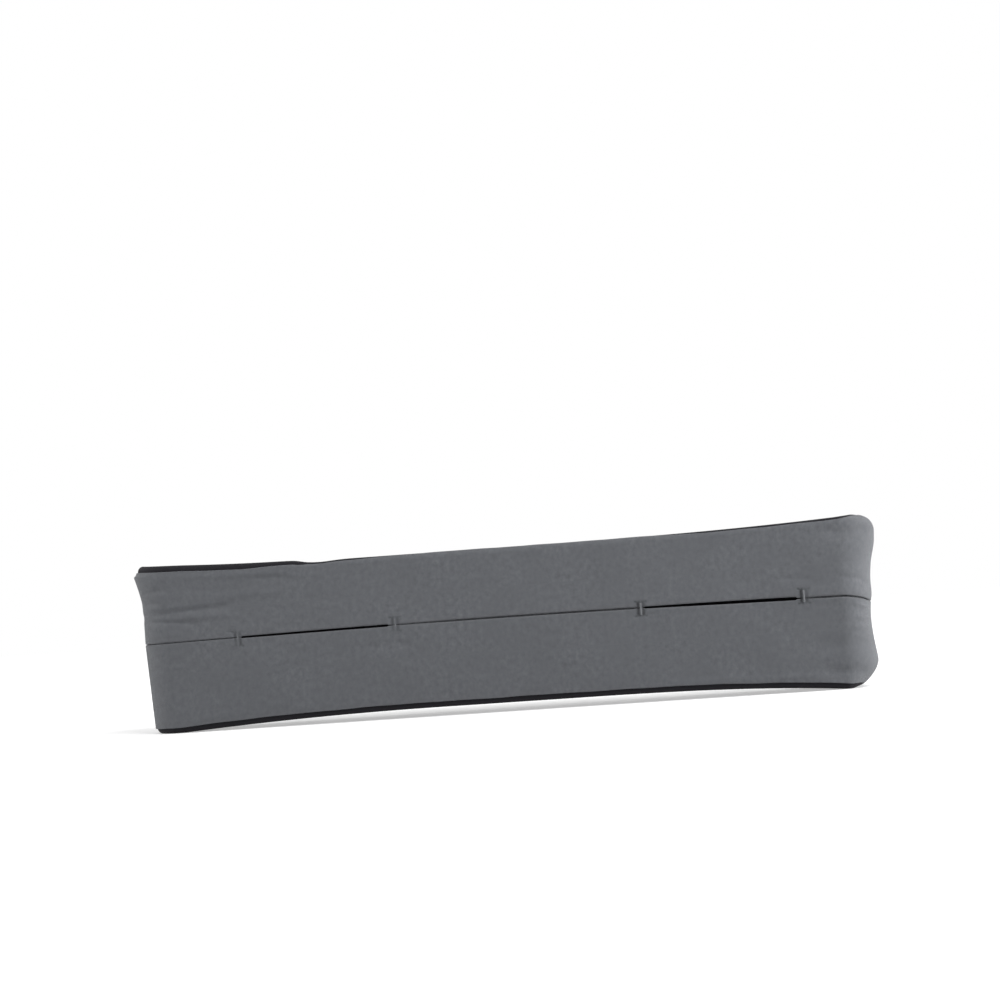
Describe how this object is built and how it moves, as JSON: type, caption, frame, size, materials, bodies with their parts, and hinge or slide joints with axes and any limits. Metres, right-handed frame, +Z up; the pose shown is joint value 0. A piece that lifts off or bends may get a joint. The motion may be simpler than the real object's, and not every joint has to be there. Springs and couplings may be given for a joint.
{
  "type": "money belt",
  "caption": "Stretch-knit money belt: a flat tube of grey cloth with a black lining, sewn into a waist loop, with slit pocket mouths whose hemmed lips open.",
  "frame": {"origin": "under the middle of the loop, on the surface that its lower edge stands on", "axes": "+X along the belt towards the right-hand end, -Y out of the face with the mouths, +Z up"},
  "size_m": [0.3764, 0.0425, 0.086],
  "materials": {
    "grey_knit": "fine matt stretch knit with a soft sheen",
    "black_knit": "fine matt stretch knit",
    "grey_thread": "twisted sewing thread with a satin sheen",
    "black_thread": "twisted sewing thread"
  },
  "bodies": {
    "belt": {"outer_upper_strip": "grey_knit", "outer_lower_strip": "grey_knit", "lining_strip": "black_knit", "left_mouth_inner_tack": "grey_thread", "left_mouth_outer_tack": "grey_thread", "right_mouth_inner_tack": "grey_thread", "right_mouth_outer_tack": "grey_thread", "centre_seam_left": "grey_thread", "centre_seam_middle": "grey_thread", "centre_seam_right": "grey_thread", "top_edge_seam": "black_thread", "bottom_edge_seam": "black_thread", "closing_seam_outer": "grey_thread", "closing_seam_lining": "black_thread"},
    "left_upper_lip": {"left_mouth_upper_lip": "grey_knit"},
    "left_lower_lip": {"left_mouth_lower_lip": "grey_knit"},
    "right_upper_lip": {"right_mouth_upper_lip": "grey_knit"},
    "right_lower_lip": {"right_mouth_lower_lip": "grey_knit"}
  },
  "joints": [
    {"name": "left_upper_lip_opens", "type": "hinge", "parent": "belt", "child": "left_upper_lip", "pos_m": [-0.0936, -0.0204, 0.06185], "axis": [-1, 0, 0], "range_deg": [0, 45], "stiffness_Nm_per_rad": 0.005},
    {"name": "left_lower_lip_opens", "type": "hinge", "parent": "belt", "child": "left_lower_lip", "pos_m": [-0.0936, -0.0204, 0.03015], "axis": [1, 0, 0], "range_deg": [0, 45], "stiffness_Nm_per_rad": 0.005},
    {"name": "right_upper_lip_opens", "type": "hinge", "parent": "belt", "child": "right_upper_lip", "pos_m": [0.11, -0.0204, 0.06185], "axis": [-1, 0, 0], "range_deg": [0, 45], "stiffness_Nm_per_rad": 0.005},
    {"name": "right_lower_lip_opens", "type": "hinge", "parent": "belt", "child": "right_lower_lip", "pos_m": [0.11, -0.0204, 0.03015], "axis": [1, 0, 0], "range_deg": [0, 45], "stiffness_Nm_per_rad": 0.005}
  ]
}
